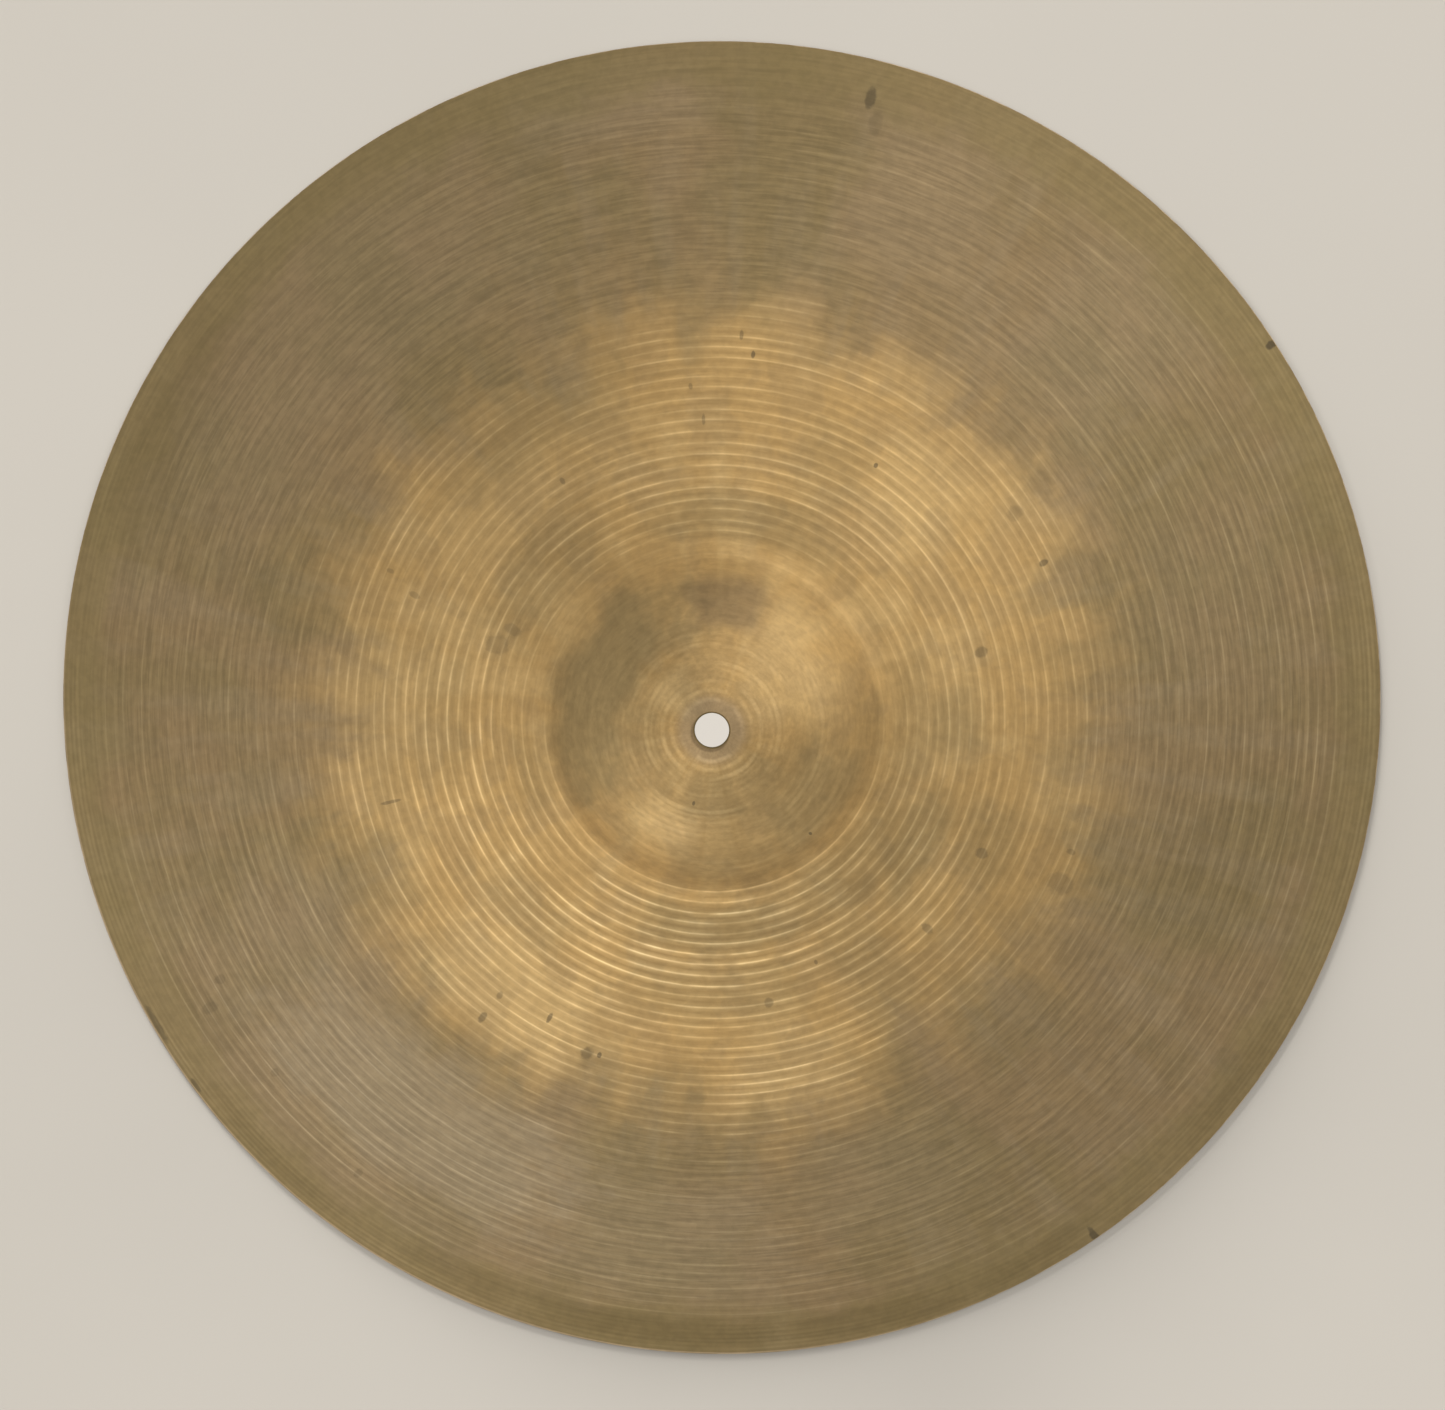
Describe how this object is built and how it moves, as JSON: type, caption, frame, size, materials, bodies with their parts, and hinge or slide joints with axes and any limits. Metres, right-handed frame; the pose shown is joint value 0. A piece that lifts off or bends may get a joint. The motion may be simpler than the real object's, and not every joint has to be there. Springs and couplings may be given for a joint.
{
  "type": "crash cymbal",
  "caption": "Bare bronze crash cymbal with a raised bell, a gently bowed lathed disc and a centre mounting hole.",
  "frame": {"origin": "centre of the rim's plane, on the cymbal's axis", "axes": "+Z along the cymbal's axis towards the top of the bell; the disc is round, so X and Y are free"},
  "size_m": [0.4572, 0.4572, 0.0503],
  "materials": {
    "bronze": "lathed and hammered cast bronze with an aged olive-brown patina, golden round the bell"
  },
  "bodies": {
    "root": {"cymbal": "bronze"}
  },
  "joints": []
}
